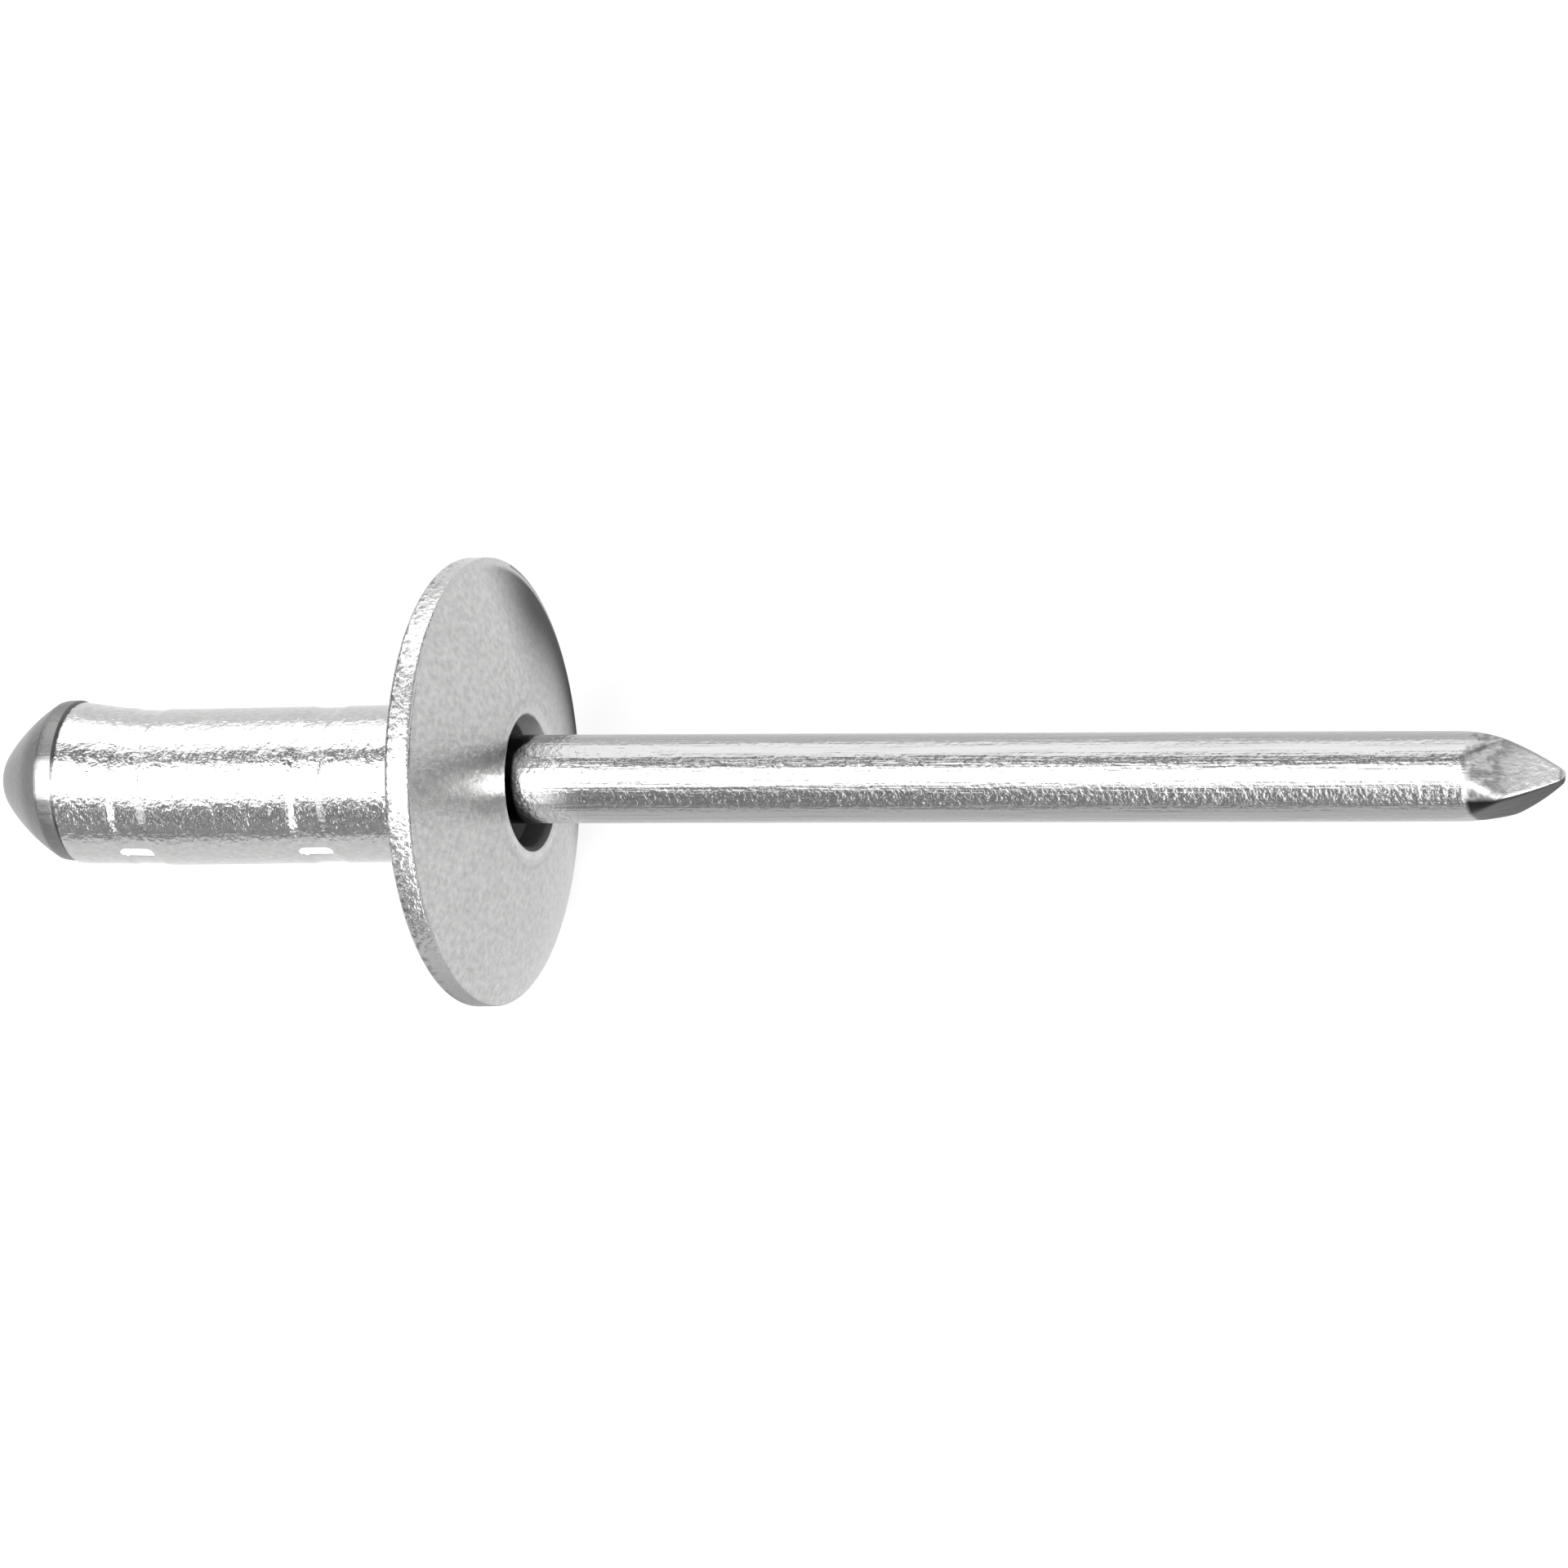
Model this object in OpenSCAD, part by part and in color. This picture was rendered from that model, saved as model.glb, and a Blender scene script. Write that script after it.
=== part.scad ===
// Open-end blind rivet with a large domed flange, unset, with its mandrel in place.
// It lies as it comes to rest, on the rim of its flange and one flat of its mandrel's point.
// The origin is the centre of the flange's seat. X runs towards the mandrel's point and Z is up.

/* [Sleeve body] */
// Outside diameter of the sleeve's body
body_d = 4.8; // [4.4:0.1:5.6]
// Length of the body, from the flange's seat to the blind end
body_len = 12.9; // [10:0.1:25]
// How much the body swells in radius at the blind end
end_flare = 0.08; // [0.02:0.01:0.15]
// Length over which the blind end swells
flare_len = 1.6; // [0.6:0.1:1.6]
// Rounding of the blind end's outer edge
end_round = 0.1; // [0.05:0.01:0.2]
// Fillet between the body and the flange's seat
root_fillet = 0.25; // [0.1:0.05:0.5]

/* [Rolled rings] */
// Depth of each rolled ring
ring_depth = 0.04; // [0.02:0.01:0.12]
// Width of each rolled ring, with its ramps
ring_w = 1.35; // [0.8:0.05:1.5]
// Length of a ring's ramp on the side of the blind end
ring_ramp_end = 0.35; // [0.1:0.05:0.4]
// Length of a ring's ramp on the side of the flange
ring_ramp_seat = 0.2; // [0.1:0.05:0.4]
// Distance from the flange's seat to the middle of the nearer ring
seat_ring = 4.5; // [1.5:0.1:6]
// Distance from the blind end to the middle of the nearer ring
end_ring = 2.4; // [2.3:0.1:3.5]

/* [Flange] */
// Diameter of the large flange
flange_d = 13.7; // [9:0.1:16]
// Thickness of the flange at its rim
rim_t = 0.8; // [0.5:0.05:1.2]
// Rounding of the rim's edge on the side of the seat
rim_round = 0.18; // [0.05:0.01:0.24]
// Rounding of the rim's edge on the side of the face
rim_edge = 0.1; // [0.05:0.01:0.24]
// Radius of the domed face
dome_r = 17.4; // [11:0.1:30]
// Diameter of the recess that the mandrel comes out of
mouth_d = 4; // [3.9:0.05:5]
// Rounding of the recess's lip
lip_round = 0.25; // [0.1:0.05:0.4]
// Depth of the recess's straight wall below the lip
recess_depth = 0.6; // [0.2:0.1:1]
// Length of the cone between the recess and the bore
throat_len = 0.5; // [0.2:0.1:1]

/* [Mandrel] */
// Diameter of the mandrel's shank
shank_d = 2.7; // [2.2:0.05:2.9]
// Play of the shank in the bore, over the diameter
bore_play = 0.5; // [0.1:0.05:0.6]
// Turn about the axis, from straight down, to the side of the bore that the shank lies against
rub_turn = 147; // [0:1:180]
// Length of the mandrel outside the flange
stem_out = 33.2; // [25:0.1:45]
// How much cold heading swells the shank's diameter, fading out by the flange's face
heading_swell = 0.06; // [0.02:0.01:0.08]
// Diameter of the break neck
neck_d = 2; // [1.4:0.1:2.1]
// Width of the break neck
neck_w = 0.9; // [0.8:0.1:1.4]
// Distance from the head's underside to the break neck
neck_start = 0.5; // [0.2:0.1:1.5]

/* [Mandrel head] */
// How much smaller the head's diameter is than the sleeve's end
head_step = 0.02; // [0:0.01:0.3]
// Length of the head's cylindrical rim
head_rim = 0.2; // [0.15:0.05:1]
// Radius of the shoulder that leads in from the rim
shoulder_r = 1; // [0.3:0.1:2]
// How far the shoulder turns in before the head's side starts
shoulder_turn = 16; // [8:1:30]
// Angle between the head's side and the axis where the side starts
side_angle = 30.5; // [20:0.5:38]
// Radius that the head's side bulges with
side_arc = 6.3; // [5.5:0.1:12]
// Radius of the head's nose
nose_r = 1.5; // [0.8:0.05:1.6]
// Rounding of the underside's edge
head_edge = 0.05; // [0.02:0.01:0.1]

/* [Pinched point] */
// Angle between the shank and the four flats where they start
point_angle = 9.3; // [4:0.1:16]
// Radius that the flats curve in with
point_arc = 8.5; // [6:0.5:20]
// Radius of the point's blunt end
tip_r = 0.26; // [0.1:0.02:0.5]

/* [Hidden] */
$fn = 128;

// Fits
rub_gap = 0.02; // left between the shank and the side of the bore that it lies against
bore_d = shank_d + bore_play;
end_d = body_d + 2 * end_flare;
head_d = end_d - head_step;

// Domed face, whose sphere is centred on the axis and meets the rim's and the lip's roundings smoothly
rim_centre = [flange_d / 2 - rim_edge, rim_t - rim_edge];
dome_z = rim_centre.y - sqrt(pow(dome_r - rim_edge, 2) - pow(rim_centre.x, 2));
lip_x = mouth_d / 2 + lip_round;
lip_centre = [lip_x, dome_z + sqrt(pow(dome_r - lip_round, 2) - pow(lip_x, 2))];
rim_angle = atan2(rim_centre.y - dome_z, rim_centre.x);
lip_angle = atan2(lip_centre.y - dome_z, lip_centre.x);
face_h = lip_centre.y + lip_round;
recess_floor = lip_centre.y - recess_depth;
throat_z = recess_floor - throat_len;

// Mandrel, along its own axis from the underside of its head
shank_shift = (bore_play / 2 - heading_swell / 2 - rub_gap) * [cos(rub_turn), sin(rub_turn)];
swell_end = body_len + face_h;
point_end = swell_end + stem_out;

// Mandrel head, whose bulging side meets the shoulder at an edge and the nose smoothly
shoulder_centre = [head_d / 2 - shoulder_r, -head_rim];
side_start = shoulder_centre + shoulder_r * [cos(shoulder_turn), -sin(shoulder_turn)];
side_centre = side_start + side_arc * [-cos(side_angle), sin(side_angle)];
nose_angle = acos(-side_centre.x / (side_arc - nose_r));
nose_z = side_centre.y - (side_arc - nose_r) * sin(nose_angle);

// Point, whose side view has one arc on each side of the axis and a blunt end that touches both smoothly
shank_r = shank_d / 2;
flat_x = shank_r - point_arc * cos(point_angle);
flat_rise = sqrt(pow(point_arc - tip_r, 2) - pow(flat_x, 2));
flat_z = point_end - tip_r - flat_rise;
point_start = flat_z + point_arc * sin(point_angle);
tip_angle = atan2(flat_rise, -flat_x);
flat_turns = [0, 90]; // turn of each pair of flats about the axis, with one flat straight down
flat_overrun = 2; // degrees of a flat's arc before the shank's surface, so that it cuts in cleanly

// Rest, on the rim's edge and on the lowest flat where it is parallel to the ground,
// or on the shank's end where the flats start too steeply for that
rim_to_flat = [flat_z - body_len - rim_centre.y, flat_x + shank_shift.x - rim_centre.x];
rim_to_end = [point_start - body_len - rim_centre.y, shank_r + shank_shift.x - rim_centre.x];
flat_tilt = asin((rim_edge - point_arc) / norm(rim_to_flat)) - atan2(rim_to_flat.y, rim_to_flat.x);
end_tilt = asin(rim_edge / norm(rim_to_end)) - atan2(rim_to_end.y, rim_to_end.x);
rest_tilt = flat_tilt > point_angle ? flat_tilt : end_tilt;

// Points along an arc, a step at most every few degrees
function arc(centre, r, from, to, step = 6) =
    let (n = max(2, ceil(abs(to - from) / step)))
    [for (i = [0:n]) let (a = from + (to - from) * i / n) centre + r * [cos(a), sin(a)]];

// A smooth ramp from one point of an outline to another, level at both ends
function ramp(from, to, steps = 5) =
    [for (i = [0:steps])
        let (t = i / steps)
        [from.x + (to.x - from.x) * (1 - cos(180 * t)) / 2, from.y + (to.y - from.y) * t]];

// A rolled ring in the body's outline, around its middle
function ring(middle, r) =
    let (low = middle - ring_w / 2, high = middle + ring_w / 2, floor_r = r - ring_depth)
    concat(ramp([r, low], [floor_r, low + ring_ramp_end]), ramp([floor_r, high - ring_ramp_seat], [r, high]));

// Half section of the sleeve, from the blind end's bore round the outside and back down the recess
function sleeve_outline() =
    concat(
        [[bore_d / 2, -body_len]],
        arc([end_d / 2 - end_round, end_round - body_len], end_round, -90, 0, 15),
        ramp([end_d / 2, end_round - body_len], [body_d / 2, flare_len - body_len]),
        ring(end_ring - body_len, body_d / 2),
        ring(-seat_ring, body_d / 2),
        arc([body_d / 2 + root_fillet, -root_fillet], root_fillet, 180, 90, 15),
        arc([flange_d / 2 - rim_round, rim_round], rim_round, -90, 0, 15),
        arc(rim_centre, rim_edge, 0, rim_angle, 15),
        arc([0, dome_z], dome_r, rim_angle, lip_angle, 1.8),
        arc(lip_centre, lip_round, lip_angle, 180, 15),
        [[mouth_d / 2, recess_floor], [bore_d / 2, throat_z]]);

// Half section of the mandrel before its point is pinched, from the nose to the far end
function mandrel_outline() =
    let (swollen_r = (shank_d + heading_swell) / 2,
         neck_depth = swollen_r - neck_d / 2,
         neck_arc = (pow(neck_w / 2, 2) + pow(neck_depth, 2)) / (2 * neck_depth),
         neck_centre = [neck_d / 2 + neck_arc, neck_start + neck_w / 2],
         neck_angle = acos((neck_arc - neck_depth) / neck_arc))
    concat(
        arc([0, nose_z], nose_r, -90, -nose_angle),
        arc(side_centre, side_arc, -nose_angle, -side_angle, 3),
        arc(shoulder_centre, shoulder_r, -shoulder_turn, 0),
        arc([head_d / 2 - head_edge, -head_edge], head_edge, 0, 90, 15),
        [[swollen_r, 0]],
        arc(neck_centre, neck_arc, 180 + neck_angle, 180 - neck_angle, 10),
        [[shank_r, swell_end], [shank_r, point_end], [0, point_end]]);

// Side view that a pair of flats leaves, with everything before the point left whole
function point_outline() =
    let (side = concat(
             arc([flat_x, flat_z], point_arc, point_angle - flat_overrun, tip_angle, 2),
             arc([0, point_end - tip_r], tip_r, tip_angle, 90, 15)),
         whole_low = [head_d, nose_z - 2 * nose_r],
         whole_high = [head_d, side[0].y])
    concat(
        [whole_low, whole_high],
        side,
        [for (i = [len(side) - 2:-1:0]) [-side[i].x, side[i].y]],
        [[-whole_high.x, whole_high.y], [-whole_low.x, whole_low.y]]);

// Lays an upright piece down, its axis along X and tilted down to the point
module lay_down() rotate([0, 90 + rest_tilt, 0]) children();

// One-piece sleeve: body, rolled rings, domed flange and through bore
module sleeve()
    color("gainsboro")
    lay_down()
    rotate_extrude()
    polygon(sleeve_outline());

// One-piece mandrel: head, break neck, shank and four-sided point, lying against one side of the bore
module mandrel()
    color("darkgray")
    lay_down()
    translate([shank_shift.x, shank_shift.y, -body_len])
    intersection() {
        rotate_extrude() polygon(mandrel_outline());
        pinched_bar(flat_turns[0]);
        pinched_bar(flat_turns[1]);
    }

// A bar across the axis with the side view of one pair of flats
module pinched_bar(turn)
    rotate([0, 0, turn])
    rotate([90, 0, 0])
    linear_extrude(height = 2 * head_d, center = true)
    polygon(point_outline());

sleeve();
mandrel();
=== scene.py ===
import math

import bpy
from mathutils import Matrix, Vector


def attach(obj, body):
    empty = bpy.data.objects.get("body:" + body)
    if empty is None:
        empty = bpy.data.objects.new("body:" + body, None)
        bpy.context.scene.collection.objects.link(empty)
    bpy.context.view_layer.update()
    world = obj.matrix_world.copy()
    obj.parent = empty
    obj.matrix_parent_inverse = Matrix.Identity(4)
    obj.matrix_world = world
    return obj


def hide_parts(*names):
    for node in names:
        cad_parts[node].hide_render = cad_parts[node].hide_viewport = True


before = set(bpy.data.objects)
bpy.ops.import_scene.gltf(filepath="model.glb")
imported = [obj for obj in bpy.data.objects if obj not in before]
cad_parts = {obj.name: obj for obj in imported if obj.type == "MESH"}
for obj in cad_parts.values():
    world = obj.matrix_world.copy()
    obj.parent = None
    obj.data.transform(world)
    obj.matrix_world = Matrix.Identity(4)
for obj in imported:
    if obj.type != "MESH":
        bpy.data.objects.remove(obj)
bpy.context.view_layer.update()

mm = 0.001
print("stage: frame loaded")


# sizes in millimetres and degrees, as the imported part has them, but for what making a rivet leaves:
# endRound and headEdge are sharper, rampSeat is longer, and one flat starts later by faceLate

sleeveSize = {
    "bodyR": 2.4, "bodyLength": 12.9, "endR": 2.48, "endRound": 0.01, "flareLength": 1.6,
    "ringDepth": 0.04, "ringWidth": 1.35, "rampEnd": 0.35, "rampSeat": 0.36, "ringMiddles": (-10.5, -4.5),
    "boreR": 1.6, "rootFillet": 0.25,
    "flangeR": 6.85, "rimHeight": 0.8, "rimRound": 0.18, "rimEdge": 0.1, "domeR": 17.4,
    "mouthR": 2.0, "lipRound": 0.25, "recessDepth": 0.6, "throatLength": 0.5,
}
mandrelSize = {
    "shankR": 1.35, "swollenR": 1.38, "headR": 2.47, "headRim": 0.2, "shoulderR": 1.0, "shoulderTurn": 16,
    "sideAngle": 30.5, "sideArc": 6.3, "noseR": 1.5, "headEdge": 0.006,
    "neckR": 1.0, "neckStart": 0.5, "neckWidth": 0.9, "stemOut": 33.2,
    "flatAngle": 9.3, "flatArc": 8.5, "tipR": 0.26, "ridgePower": 18, "edgePower": 40,
    "faceLate": 0.075, "faceReach": 2.0, "flatLead": 0.7, "poleTurn": 88,
}
pose = {"tilt": 10.248, "shift": (-0.1677, 0.1089)}
steps = {  # how finely each stretch of the outlines is cut
    "round": 256, "edge": 8, "flare": 12, "endRamp": 10, "seatRamp": 8, "wall": 8, "root": 10,
    "dome": 24, "lip": 12, "nose": 14, "bulge": 16, "headEdge": 5, "neck": 10, "shank": 12, "flat": 90, "tip": 12,
}
creases = {"sleeve": 32, "mandrel": 10}  # degrees above which an edge stays sharp


def arc(centre, r, start, stop, count):
    turns = [math.radians(start + (stop - start) * i / count) for i in range(count + 1)]
    return [(centre[0] + r * math.cos(a), centre[1] + r * math.sin(a)) for a in turns]


def ramp(low, high, count):  # level at both ends
    points = []
    for i in range(count + 1):
        t = i / count
        rise = (1 - math.cos(math.pi * t)) / 2
        points.append((low[0] + (high[0] - low[0]) * rise, low[1] + (high[1] - low[1]) * t))
    return points


def fill(a, b, count):  # points between two outline points, without the ends
    return [(a[0] + (b[0] - a[0]) * i / count, a[1] + (b[1] - a[1]) * i / count) for i in range(1, count)]


def lathe(name, rings, crease, closedTube, matrix):  # rings is a list of lists of points round the axis
    count = len(rings[0])
    verts = [tuple(c * mm for c in p) for ring in rings for p in ring]
    faces = []
    last = len(rings) if closedTube else len(rings) - 1
    for i in range(last):
        low = i * count
        high = (i + 1) % len(rings) * count
        for j in range(count):
            k = (j + 1) % count
            faces.append((low + j, low + k, high + k, high + j))
    if not closedTube:
        for ringStart, flip in ((0, True), ((len(rings) - 1) * count, False)):
            verts.append(tuple(sum(verts[ringStart + j][c] for j in range(count)) / count for c in range(3)))
            hub = len(verts) - 1
            for j in range(count):
                a, b = ringStart + j, ringStart + (j + 1) % count
                faces.append((hub, b, a) if flip else (hub, a, b))
    mesh = bpy.data.meshes.new(name)
    mesh.from_pydata(verts, [], faces)
    mesh.transform(matrix)
    mesh.shade_smooth()
    mesh.set_sharp_from_angle(angle=math.radians(crease))
    obj = bpy.data.objects.new(name, mesh)
    bpy.context.scene.collection.objects.link(obj)
    return obj


def spin(outline, count):
    turns = [2 * math.pi * j / count for j in range(count)]
    return [[(r * math.cos(a), r * math.sin(a), z) for a in turns] for r, z in outline]


layDown = Matrix.Rotation(math.radians(90 + pose["tilt"]), 4, "Y")
mandrelStart = Vector((pose["shift"][0], pose["shift"][1], -sleeveSize["bodyLength"])) * mm
mandrelPlace = layDown @ Matrix.Translation(mandrelStart)


def sleeveOutline(s):
    rimX = s["flangeR"] - s["rimEdge"]
    rimZ = s["rimHeight"] - s["rimEdge"]
    domeZ = rimZ - math.sqrt((s["domeR"] - s["rimEdge"]) ** 2 - rimX ** 2)
    lipX = s["mouthR"] + s["lipRound"]
    lipZ = domeZ + math.sqrt((s["domeR"] - s["lipRound"]) ** 2 - lipX ** 2)
    rimTurn = math.degrees(math.atan2(rimZ - domeZ, rimX))
    lipTurn = math.degrees(math.atan2(lipZ - domeZ, lipX))
    blind = -s["bodyLength"]
    outline = arc((s["endR"] - s["endRound"], blind + s["endRound"]), s["endRound"], -90, 0, steps["edge"])
    flareEnd = (s["bodyR"], blind + s["flareLength"])
    outline += ramp((s["endR"], blind + s["endRound"]), flareEnd, steps["flare"])[1:]
    for middle in s["ringMiddles"]:
        low, high = middle - s["ringWidth"] / 2, middle + s["ringWidth"] / 2
        floorR = s["bodyR"] - s["ringDepth"]
        outline += fill(outline[-1], (s["bodyR"], low), steps["wall"])
        outline += ramp((s["bodyR"], low), (floorR, low + s["rampEnd"]), steps["endRamp"])
        outline += ramp((floorR, high - s["rampSeat"]), (s["bodyR"], high), steps["seatRamp"])
    fillet = s["rootFillet"]
    outline += fill(outline[-1], (s["bodyR"], -fillet), steps["root"])
    outline += arc((s["bodyR"] + fillet, -fillet), fillet, 180, 90, steps["edge"])
    outline += arc((s["flangeR"] - s["rimRound"], s["rimRound"]), s["rimRound"], -90, 0, steps["edge"])
    outline += arc((rimX, rimZ), s["rimEdge"], 0, rimTurn, steps["edge"])
    outline += arc((0, domeZ), s["domeR"], rimTurn, lipTurn, steps["dome"])[1:]
    outline += arc((lipX, lipZ), s["lipRound"], lipTurn, 180, steps["lip"])[1:]
    floorZ = lipZ - s["recessDepth"]
    outline += [(s["mouthR"], floorZ), (s["boreR"], floorZ - s["throatLength"]), (s["boreR"], blind)]
    return outline, lipZ + s["lipRound"]


def warp(rings, w):  # the slight bow of the body and tilt of the flange that making leaves
    t = math.radians(w["turn"])
    upX, upY = -math.sin(t), -math.cos(t)
    warped = []
    for ring in rings:
        bent = []
        for x, y, z in ring:
            lift = w["lift"] + w["bow"] * z + w["hook"] * max(0, w["hookStart"] - z) ** 2
            share = min(1, max(0, 1 + z / w["fade"]))
            ahead = share * (w["forward"] - w["tilt"] * (x * upX + y * upY))
            bent.append((x + upX * lift, y + upY * lift, z + ahead))
        warped.append(bent)
    return warped


def mandrelRings(m, length, count):
    shoulder = (m["headR"] - m["shoulderR"], -m["headRim"])
    band = arc(shoulder, m["shoulderR"], -m["shoulderTurn"], 0, steps["edge"])
    lean = math.radians(m["sideAngle"])
    bulge = (band[0][0] - m["sideArc"] * math.cos(lean), band[0][1] + m["sideArc"] * math.sin(lean))
    noseTurn = math.acos(-bulge[0] / (m["sideArc"] - m["noseR"]))
    noseZ = bulge[1] - (m["sideArc"] - m["noseR"]) * math.sin(noseTurn)
    sideEnd = -math.degrees(noseTurn)
    outline = arc((0, noseZ), m["noseR"], -m["poleTurn"], sideEnd, steps["nose"])
    outline += arc(bulge, m["sideArc"], sideEnd, -m["sideAngle"], steps["bulge"])[1:] + band[1:]
    outline += arc((m["headR"] - m["headEdge"], -m["headEdge"]), m["headEdge"], 0, 90, steps["headEdge"])
    depth = m["swollenR"] - m["neckR"]
    neckArc = ((m["neckWidth"] / 2) ** 2 + depth ** 2) / (2 * depth)
    neckTurn = math.degrees(math.acos((neckArc - depth) / neckArc))
    neckMiddle = (m["neckR"] + neckArc, m["neckStart"] + m["neckWidth"] / 2)
    outline += [(m["swollenR"], 0)]
    outline += arc(neckMiddle, neckArc, 180 + neckTurn, 180 - neckTurn, steps["neck"])
    swellEnd = length - m["stemOut"]
    flatX = m["shankR"] - m["flatArc"] * math.cos(math.radians(m["flatAngle"]))
    flatRise = math.sqrt((m["flatArc"] - m["tipR"]) ** 2 - flatX ** 2)
    flatZ = length - m["tipR"] - flatRise
    flatStart = flatZ + m["flatArc"] * math.sin(math.radians(m["flatAngle"]))
    tipTurn = math.degrees(math.atan2(flatRise, -flatX))
    outline += [(m["shankR"], swellEnd)]
    outline += fill(outline[-1], (m["shankR"], flatStart), steps["shank"])
    rings = spin(outline, count)
    side = arc((flatX, flatZ), m["flatArc"], m["flatAngle"] - m["flatLead"], tipTurn, steps["flat"])
    side += arc((0, length - m["tipR"]), m["tipR"], tipTurn, m["poleTurn"], steps["tip"])[1:]
    p, q = m["ridgePower"], m["edgePower"]  # the higher, the sharper the ridges and the flats' ends
    for half, z in side:
        ring = []
        for j in range(count):
            a = 2 * math.pi * j / count
            late = m["faceLate"] * max(0, 1 - (z - flatStart) / m["faceReach"]) if math.cos(a) < 0 else 0
            square = ((abs(math.cos(a)) / (half + late)) ** p + (abs(math.sin(a)) / half) ** p) ** (-1 / p)
            r = m["shankR"] * square / (m["shankR"] ** q + square ** q) ** (1 / q)
            ring.append((r * math.cos(a), r * math.sin(a), z))
        rings.append(ring)
    return rings


sleeveWarp = {"turn": 168, "lift": 0.055, "forward": 0.06, "bow": 0.0132, "hook": 0.0127, "hookStart": -9.0,
              "tilt": 0.014, "fade": 0.6}
outline, faceHeight = sleeveOutline(sleeveSize)
sleeveShape = warp(spin(outline, steps["round"]), sleeveWarp)
sleeve = lathe("sleeve_skin", sleeveShape, creases["sleeve"], True, layDown)
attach(sleeve, "root")
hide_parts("sleeve")

mandrelLength = sleeveSize["bodyLength"] + faceHeight + mandrelSize["stemOut"]
mandrelShape = mandrelRings(mandrelSize, mandrelLength, steps["round"])
mandrel = lathe("mandrel_skin", mandrelShape, creases["mandrel"], False, mandrelPlace)
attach(mandrel, "root")
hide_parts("mandrel")
print("stage: shapes made")


class Wire:  # a shader socket that takes Python's operators
    def __init__(self, tree, socket):
        self.tree = tree
        self.socket = socket

    def add(self, kind, settings, inputs, out=0):  # any node, with its settings first
        node = self.tree.nodes.new(kind)
        for key, value in settings.items():
            setattr(node, key, value)
        for key, value in inputs.items():
            if isinstance(value, Wire):
                self.tree.links.new(value.socket, node.inputs[key])
            else:
                node.inputs[key].default_value = value
        return Wire(self.tree, node.outputs[out])

    def maths(self, operation, a, b=0.0):
        return self.add("ShaderNodeMath", {"operation": operation}, {0: a, 1: b})

    def __add__(self, other):
        return self.maths("ADD", self, other)

    def __radd__(self, other):
        return self.maths("ADD", other, self)

    def __sub__(self, other):
        return self.maths("SUBTRACT", self, other)

    def __rsub__(self, other):
        return self.maths("SUBTRACT", other, self)

    def __mul__(self, other):
        return self.maths("MULTIPLY", self, other)

    def __rmul__(self, other):
        return self.maths("MULTIPLY", other, self)

    def __pow__(self, other):
        return self.maths("POWER", self, other)

    def over(self, other):
        return self.maths("DIVIDE", self, other)

    def most(self, other):
        return self.maths("MAXIMUM", self, other)

    def least(self, other):
        return self.maths("MINIMUM", self, other)

    def off(self, middle):  # how far this is from a value, either way
        return self.maths("ABSOLUTE", self - middle)

    def step(self, low, high):  # 0 below low and 1 above high, with a smooth change between
        return self.add("ShaderNodeMapRange", {"interpolation_type": "SMOOTHSTEP"},
                        {"Value": self, "From Min": low, "From Max": high})

    def noise(self, scale, detail=2.0, stretch=(1, 1, 1), rough=0.5):  # grain over a place vector in metres
        place = self.add("ShaderNodeVectorMath", {"operation": "MULTIPLY"}, {0: self, 1: stretch})
        return self.add("ShaderNodeTexNoise", {"noise_dimensions": "3D"},
                        {"Vector": place, "Scale": scale, "Detail": detail, "Roughness": rough})

    def mix(self, a, b):  # colour a where this is 0 and b where it is 1
        return self.add("ShaderNodeMix", {"data_type": "RGBA"}, {0: self, 6: a, 7: b}, 2)

    def bump(self, distance):  # a normal from this height
        return self.add("ShaderNodeBump", {}, {"Strength": 1.0, "Distance": distance, "Height": self})

    def xyz(self):
        node = self.tree.nodes.new("ShaderNodeSeparateXYZ")
        self.tree.links.new(self.socket, node.inputs[0])
        return [Wire(self.tree, out) for out in node.outputs]


def finish(name, look, settings, matrix):  # a metal, whose look gets the place on the piece's own axis
    material = bpy.data.materials.new(name)
    material.use_nodes = True
    tree = material.node_tree
    shader = tree.nodes["Principled BSDF"]
    shader.inputs["Metallic"].default_value = 1.0
    laid = Wire(tree, tree.nodes.new("ShaderNodeTexCoord").outputs["Object"])
    place = laid.add("ShaderNodeMapping", {"vector_type": "TEXTURE"},
                     {"Vector": laid, "Location": matrix.to_translation(), "Rotation": matrix.to_euler()})
    wires = look(place, settings)
    matte = wires.pop("matte", None)
    for key, wire in wires.items():
        tree.links.new(wire.socket, shader.inputs[key])
    if matte:  # patches of painted shade, a dark diffuse shader, lie over the metal
        shadeColour = place.add("ShaderNodeBsdfDiffuse", {}, {"Color": settings["shadeColour"]})
        mixed = place.add("ShaderNodeMixShader", {}, {0: matte, 1: Wire(tree, shader.outputs[0]), 2: shadeColour})
        tree.links.new(mixed.socket, tree.nodes["Material Output"].inputs["Surface"])
    return material


def grey(value, warm=0.0):  # a grey, with a little less blue where it is warm
    return (value, value, value - warm, 1)


def axisTurn(x, y):  # degrees about the axis from the near side, 90 upwards
    return x.maths("ARCTAN2", x * -1, y * -1) * math.degrees(1)


# lengths are in metres here, and a pair after a length, a turn or a grain is where a change starts and ends

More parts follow.
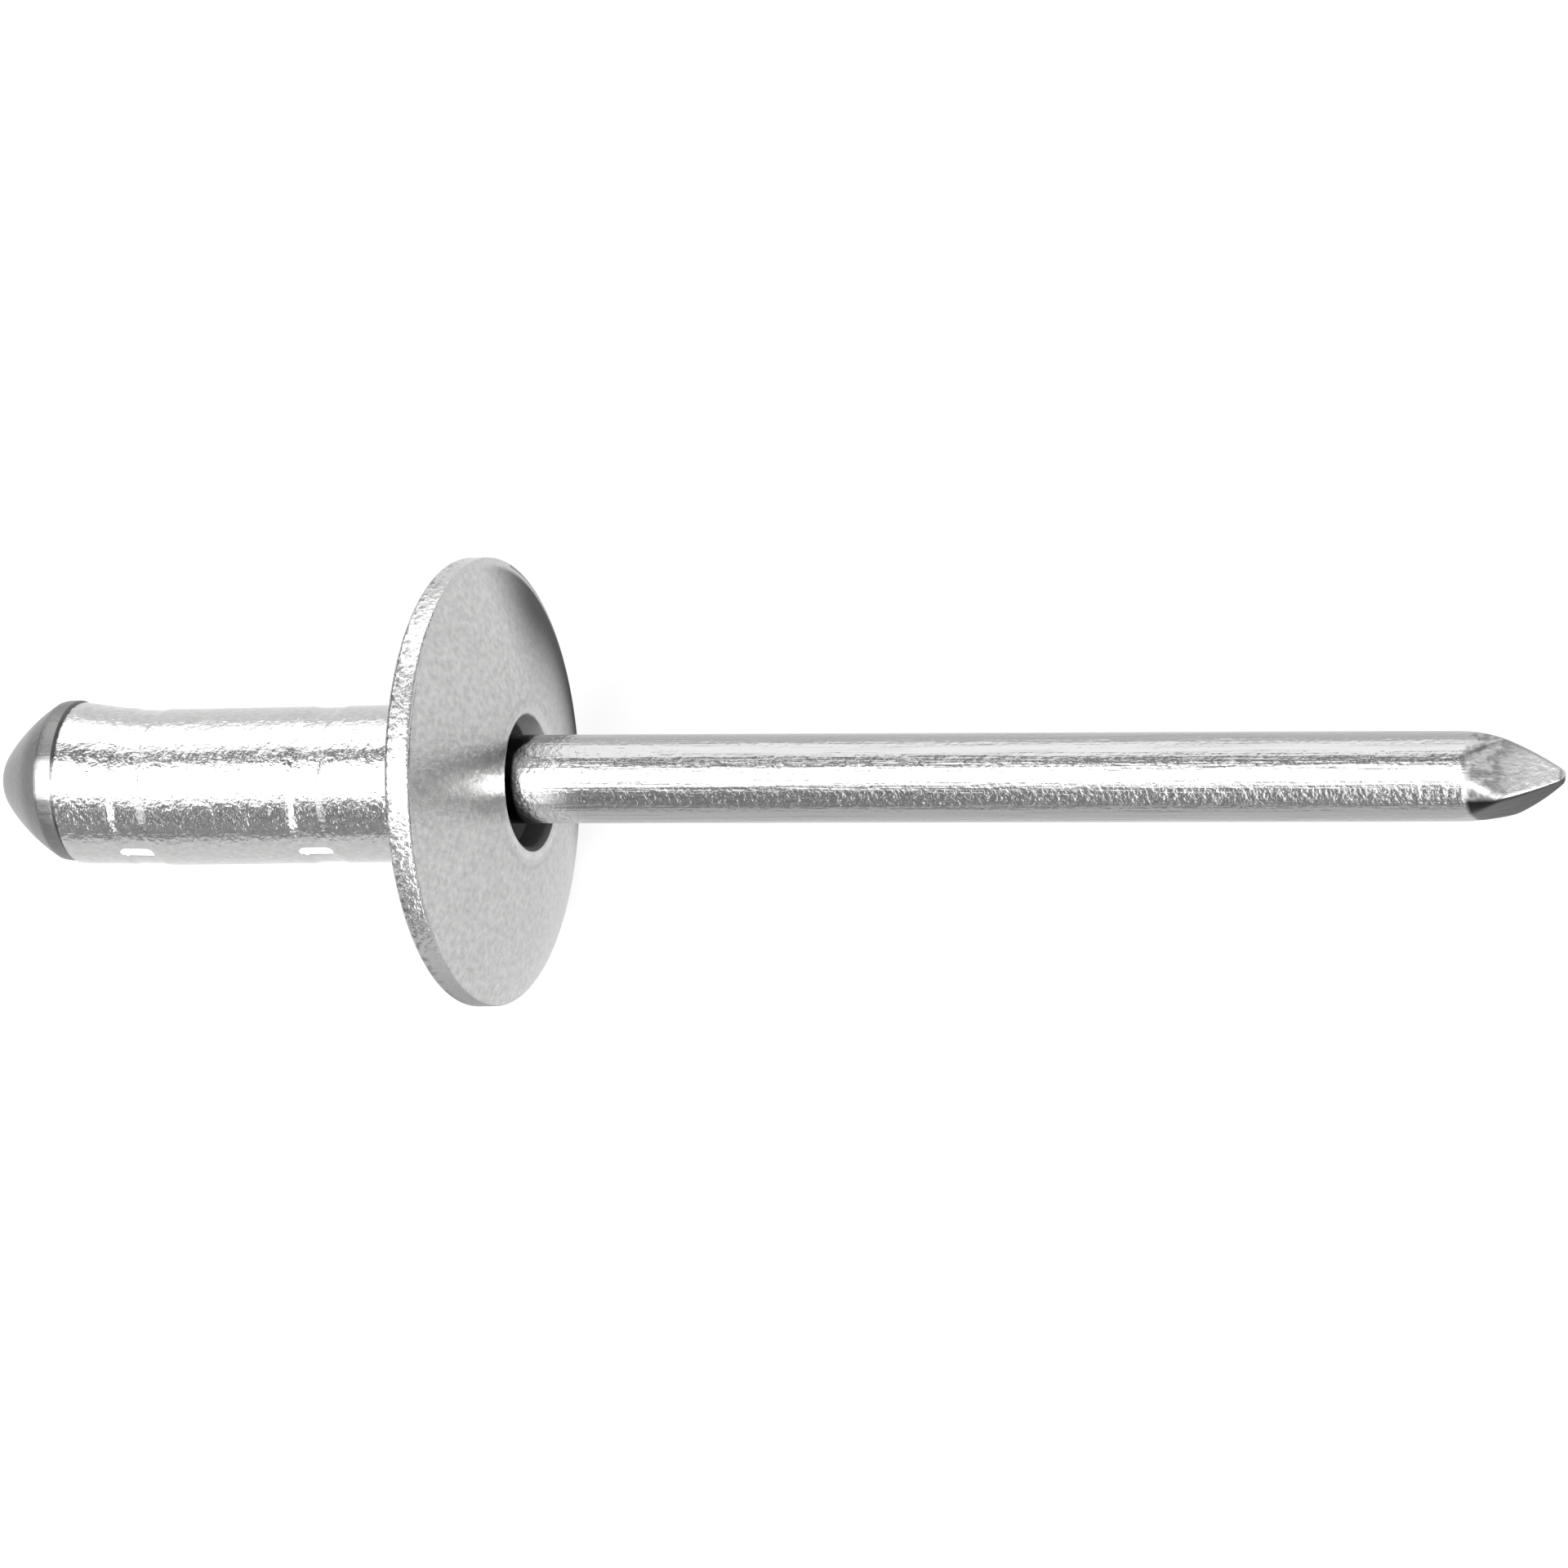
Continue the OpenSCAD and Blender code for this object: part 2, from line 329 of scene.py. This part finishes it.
sleeveFinish = {
    "low": grey(0.38, 0.003), "high": grey(0.52, 0.003),
    "faceLow": grey(0.36, 0.003), "faceHigh": grey(0.56, 0.003),
    # painted light in the next two lines: near-white patches, a lit wall in the bore and a lighter lip ring are
    # painted highlights; a dark bore and a dark diffuse colour are painted shade
    "paintedGlint": grey(0.98), "wall": grey(0.95), "hollowShade": grey(0.09), "speck": grey(0.2), "shadeColour": grey(0.05),
    "lip": grey(0.85, 0.003), "ring": grey(0.3),
    "fine": 14000, "coarse": 6000, "wave": 2200, "line": 9000, "mottle": 5000, "lineStretch": (1, 1, 0.05),
    "bodyMottle": (1.4, 0.2), "faceMottle": (1.8, 0.4),
    "rimR": (0.00673, 0.00679), "faceZ": (0.0008, 0.0009),
    "hollowR": (0.00205, 0.0021), "hollowZ": (-0.001, 0.0),
    "wallZ": (0.00118, 0.00125), "wallY": (-0.0005, 0.001),
    "speckGrain": (0.5, 0.6), "speckZ": (0.0002, 0.0006),
    "markTurn": 18.5, "markMiddles": (-0.01054, -0.00456), "markHalf": 0.00035, "markR": (0.000187, 0.000242),
    "perDegree": 0.0000412,  # arc length of a degree on the body
    "lipR": 0.00217, "lipHalf": (0.00011, 0.00022), "lipLight": 0.22,
    "ringR": 0.00256, "ringHalf": (0.000036, 0.00012), "ringDark": 0.25,
    "shadeX": 0.643, "shadeY": 0.766, "shadeR": (0.0022, 0.0060), "shadeCos": (0.4, 0.9), "shade": 0.97,
    "lowTurn": (0, 55), "rimLowShade": 0.55,
    "bodyRough": 0.16, "faceRough": 0.08, "rimRough": 0.06, "wallRough": 0.45,
    "markRough": 0.08, "roughVary": 0.06,
    "fineDepth": 0.005, "pitDepth": 0.021, "waveDepth": 0.024, "lineDepth": 0.004,
    "faceBump": 0.35, "rimDepth": 0.022,
}


def sleeveLook(place, f):
    x, y, z = place.xyz()
    radius = (x * x + y * y) ** 0.5
    turn = axisTurn(x, y)
    fine, coarse, wave = place.noise(f["fine"]), place.noise(f["coarse"]), place.noise(f["wave"])
    lines, mottle = place.noise(f["line"], 2.0, f["lineStretch"]), place.noise(f["mottle"], 4.0)
    isRim = radius.step(*f["rimR"])
    isFace = z.step(*f["faceZ"]) * (1 - isRim)
    isHollow = (1 - radius.step(*f["hollowR"])) * z.step(*f["hollowZ"])

    near, far = [z.off(middle) for middle in f["markMiddles"]]  # two painted highlights with round ends, near-white patches of colour
    along = (near.least(far) - f["markHalf"]).most(0)
    across = (turn - f["markTurn"]) * f["perDegree"]
    isPaintedGlint = (1 - ((along * along + across * across) ** 0.5).step(*f["markR"])) * (1 - isRim)

    body = (mottle * f["bodyMottle"][0] - f["bodyMottle"][1]).mix(f["low"], f["high"])
    face = (mottle * f["faceMottle"][0] - f["faceMottle"][1]).mix(f["faceLow"], f["faceHigh"])
    # painted highlight: the rounded lip of the hole gets a lighter ring of colour
    isLip = 1 - radius.off(f["lipR"]).step(*f["lipHalf"])
    isRing = 1 - radius.off(f["ringR"]).step(*f["ringHalf"])
    face = (isRing * f["ringDark"]).mix((isLip * f["lipLight"]).mix(face, f["lip"]), f["ring"])
    isSpeck = isRim * coarse.step(*f["speckGrain"]) * (1 - z.step(*f["speckZ"]))
    metal = isSpeck.mix(isFace.mix(body, face), f["speck"])
    # painted shade: the inside of the bore is dark, with a painted highlight on the far wall just inside the
    # mouth
    wall = (z.step(*f["wallZ"]) * y.step(*f["wallY"])).mix(f["hollowShade"], f["wall"])
    colour = isPaintedGlint.mix(isHollow.mix(metal, wall), f["paintedGlint"])

    towards = (x * f["shadeX"] + y * f["shadeY"]).over(radius)  # the cosine from the side with painted shade
    # painted shade: the face darkens towards its upper right edge, and the rim along its lower part
    shade = radius.step(*f["shadeR"]) * towards.step(*f["shadeCos"]) * f["shade"]
    isShadedLowRim = isRim * (1 - turn.step(*f["lowTurn"])) * f["rimLowShade"]
    rough = f["bodyRough"] + isFace * f["faceRough"] + isRim * f["rimRough"] + isHollow * f["wallRough"]
    rough = (rough + wave * f["roughVary"]) * (1 - isPaintedGlint) + isPaintedGlint * f["markRough"]
    height = fine * f["fineDepth"] + coarse * (f["pitDepth"] + isRim * f["rimDepth"])
    height = height + wave * f["waveDepth"] + lines * f["lineDepth"]
    height = height * (1 - isPaintedGlint) * (1 - isFace * (1 - f["faceBump"]))
    matte = isFace * shade + isShadedLowRim
    return {"Base Color": colour, "Roughness": rough, "Normal": height.bump(mm), "matte": matte}


mandrelFinish = {
    # painted light in the next three lines: a lighter shank beside the mouth and a strip of the head band are
    # painted highlights; a black shank at the hole, the rest of the band and the point's lower side are painted
    # shade
    "shank": grey(0.33, 0.002), "dark": grey(0.15), "holeShade": grey(0.03), "mouthHighlight": grey(0.62, 0.003),
    "head": grey(0.33, 0.002), "band": grey(0.17, 0.002), "bandHighlight": grey(0.6, 0.003),
    "tip": grey(0.43, 0.002), "pointUnderShade": grey(0.02),
    "fine": 14000, "coarse": 6000, "patch": 2600, "wave": 1500, "line": 9000, "lineStretch": (1, 1, 0.03),
    "headZ": (0.00001, 0.00004), "bandZ": (-0.00062, -0.0005), "bandMiddle": 79, "bandTurn": (9, 18),
    "coneDarkZ": (-0.0014, -0.0009), "coneDarkShare": 0.6,
    "deepZ": (0.01488, 0.01498), "deepRise": 0.00035, "deepTurn": (112, 140),
    "mouthZ": (0.0156, 0.0172), "mouthTurn": (98, 112),
    "pointZ": (0.0453, 0.0455), "tipZ": (0.0458, 0.0475), "lowerTurn": (42, 50),
    "patchGrain": (0.42, 0.6), "patchDark": 0.85, "lineGrain": (0.45, 0.8), "lineDark": 0.3,
    "shankRough": 0.18, "headRough": 0.2, "pointRough": 0.13, "mouthRough": 0.02, "roughVary": 0.06,
    "fineDepth": 0.005, "pitDepth": 0.016, "waveDepth": 0.012, "lineDepth": 0.018, "pointBump": 0.4,
}


def mandrelLook(place, f):
    x, y, z = place.xyz()
    turn = axisTurn(x, y)
    fine, coarse, patches, wave = [place.noise(f[key]) for key in ("fine", "coarse", "patch", "wave")]
    lines = place.noise(f["line"], 3.0, f["lineStretch"])
    isHead = 1 - z.step(*f["headZ"])
    # painted highlight: a lighter shank colour just outside the mouth, except on the upper far side
    isMouthHighlight = (1 - z.step(*f["mouthZ"])) * (1 - turn.step(*f["mouthTurn"]))
    isPoint = z.step(*f["pointZ"])
    isTip = z.step(*f["tipZ"])
    # painted shade: the lower side of the point nearly black
    isShadedUnderPoint = isPoint * (1 - turn.off(0).step(*f["lowerTurn"]))
    # painted shade: the shank nearly black where it goes into the hole, further out on the upper side
    isHoleShade = 1 - (z - turn.step(*f["deepTurn"]) * f["deepRise"]).step(*f["deepZ"])

    dark = patches.step(*f["patchGrain"]) * isPoint * (1 - isTip) * f["patchDark"]
    dark = dark + lines.step(*f["lineGrain"]) * f["lineDark"]
    metal = isShadedUnderPoint.mix(dark.mix(isTip.mix(f["shank"], f["tip"]), f["dark"]), f["pointUnderShade"])
    shank = isHoleShade.mix(isMouthHighlight.mix(metal, f["mouthHighlight"]), f["holeShade"])
    # painted light on the head's rim band: a painted highlight in a strip round turn 79 and painted shade on the
    # rest
    band = turn.off(f["bandMiddle"]).step(*f["bandTurn"]).mix(f["bandHighlight"], f["band"])
    # the cone is darker just before the band
    cone = (z.step(*f["coneDarkZ"]) * f["coneDarkShare"]).mix(f["head"], f["band"])
    colour = isHead.mix(shank, z.step(*f["bandZ"]).mix(cone, band))

    rough = f["shankRough"] + isHead * f["headRough"] + isPoint * f["pointRough"] + isMouthHighlight * f["mouthRough"]
    rough = rough + fine * f["roughVary"]
    height = fine * f["fineDepth"] + coarse * f["pitDepth"] + wave * f["waveDepth"] + lines * f["lineDepth"]
    height = height * (1 - isPoint * (1 - f["pointBump"]))
    return {"Base Color": colour, "Roughness": rough, "Normal": height.bump(mm)}


sleeve.data.materials.append(finish("drawn_aluminium", sleeveLook, sleeveFinish, layDown))
mandrel.data.materials.append(finish("drawn_steel", mandrelLook, mandrelFinish, mandrelPlace))
print("stage: finishes made")


# the view follows the rivet's own axis: turn is round it from the near side, ahead is towards the point

view = {"ahead": 21.5, "turn": 78.0, "distance": 0.4203, "focal": 17018.0, "photo": 1920, "along": 10.383,
        "below": 7.0, "rise": 0.17, "sensor": 36, "nearest": 0.01}

tilt = math.radians(pose["tilt"])
axis = Vector((math.cos(tilt), 0, -math.sin(tilt)))
side = Vector((0, -1, 0))
lift = Vector((math.sin(tilt), 0, math.cos(tilt)))


def around(turn, ahead):  # unit vector at a turn about the axis and an angle ahead along it
    t, a = math.radians(turn), math.radians(ahead)
    return axis * math.sin(a) + (side * math.cos(t) + lift * math.sin(t)) * math.cos(a)


toCamera = around(view["turn"], view["ahead"])
rightFlat = (axis - toCamera * axis.dot(toCamera)).normalized()
upFlat = toCamera.cross(rightFlat)
rise = math.radians(view["rise"])
right = rightFlat * math.cos(rise) - upFlat * math.sin(rise)
up = toCamera.cross(right)
aim = mandrelPlace @ Vector((0, 0, (view["along"] + sleeveSize["bodyLength"]) * mm))
aim -= up * view["below"] / view["focal"] * view["distance"]

cameraData = bpy.data.cameras.new("camera")
cameraData.sensor_width = view["sensor"]
cameraData.lens = view["focal"] / view["photo"] * cameraData.sensor_width
cameraData.clip_start = view["nearest"]
camera = bpy.data.objects.new("camera", cameraData)
bpy.context.scene.collection.objects.link(camera)
camera.matrix_world = Matrix((right, up, toCamera)).transposed().to_4x4()
camera.matrix_world.translation = aim + toCamera * view["distance"]
bpy.context.scene.camera = camera

scene = bpy.context.scene
scene.view_settings.view_transform = "Standard"
floorZ = min(v.co.z for v in sleeve.data.vertices)


floorFinish = {"colour": grey(0.8), "rough": 0.8, "light": grey(1), "glow": 0.8, "reach": 1.5}


def floorMaterial(f):  # pale, and whiter where the camera or a shiny surface looks at it
    material = bpy.data.materials.new("pale_floor")
    material.use_nodes = True
    tree = material.node_tree
    shader = tree.nodes["Principled BSDF"]
    shader.inputs["Base Color"].default_value = f["colour"]
    shader.inputs["Roughness"].default_value = f["rough"]
    path = tree.nodes.new("ShaderNodeLightPath")
    seen = Wire(tree, path.outputs["Is Camera Ray"])
    for ray in ("Is Glossy Ray", "Is Transmission Ray"):
        seen = seen.most(Wire(tree, path.outputs[ray]))
    glow = seen.add("ShaderNodeEmission", {}, {"Color": f["light"], "Strength": 1.0})
    plain = Wire(tree, shader.outputs[0])
    mixed = seen.add("ShaderNodeMixShader", {}, {0: seen * f["glow"], 1: plain, 2: glow})
    tree.links.new(mixed.socket, tree.nodes["Material Output"].inputs["Surface"])
    return material


floorMesh = bpy.data.meshes.new("floor")
corners = [(-1, -1), (1, -1), (1, 1), (-1, 1)]
floorVerts = [(x * floorFinish["reach"], y * floorFinish["reach"], floorZ) for x, y in corners]
floorMesh.from_pydata(floorVerts, [], [(0, 1, 2, 3)])
floor = bpy.data.objects.new("floor", floorMesh)
scene.collection.objects.link(floor)
floor.data.materials.append(floorMaterial(floorFinish))

softboxes = {  # lengths in metres, with how bright each looks
    "overhead": {"turn": 83.5, "ahead": -24, "distance": 0.55, "wide": 0.53, "long": 0.5, "bright": 3.5},
    "far_side": {"turn": 156, "ahead": -18, "distance": 0.35, "wide": 0.308, "long": 0.4, "bright": 2.4},
    "point_side": {"turn": 70, "ahead": 8, "distance": 0.6, "wide": 0.52, "long": 0.36, "bright": 5.0},
    "streak_side": {"turn": 66, "ahead": 43, "distance": 0.6, "wide": 0.32, "long": 0.24, "bright": 13.0},
    "near_side": {"turn": 32, "ahead": -2, "distance": 0.5, "wide": 0.36, "long": 0.17, "bright": 4.2},
    "near_back": {"turn": 38, "ahead": -50, "distance": 0.5, "wide": 0.32, "long": 0.33, "bright": 1.3},
    "point_top": {"turn": 128, "ahead": 30, "distance": 0.5, "wide": 0.32, "long": 0.4, "bright": 0.8},
    "near_low": {"turn": 11, "ahead": -22, "distance": 0.5, "wide": 0.16, "long": 0.36, "bright": 0.25},
    "head_side": {"turn": 100, "ahead": -76, "distance": 0.5, "wide": 0.3, "long": 0.2, "bright": 1.0},
}
for name, box in softboxes.items():
    lampData = bpy.data.lights.new(name, "AREA")
    lampData.shape = "RECTANGLE"
    lampData.size = box["long"]
    lampData.size_y = box["wide"]
    lampData.energy = box["bright"] * math.pi * box["long"] * box["wide"]
    lamp = bpy.data.objects.new(name, lampData)
    scene.collection.objects.link(lamp)
    back = around(box["turn"], box["ahead"])
    wide = around(box["turn"] + 90, 0)
    wide = (wide - back * wide.dot(back)).normalized()
    lamp.matrix_world = Matrix((wide.cross(back), wide, back)).transposed().to_4x4()
    lamp.matrix_world.translation = back * box["distance"]

roomLight = {"colour": grey(0.22), "bright": 1.0}
world = bpy.data.worlds.new("room")
scene.world = world
world.use_nodes = True
room = world.node_tree.nodes["Background"]
room.inputs["Color"].default_value = roomLight["colour"]
room.inputs["Strength"].default_value = roomLight["bright"]
print("stage: view, floor and light set")
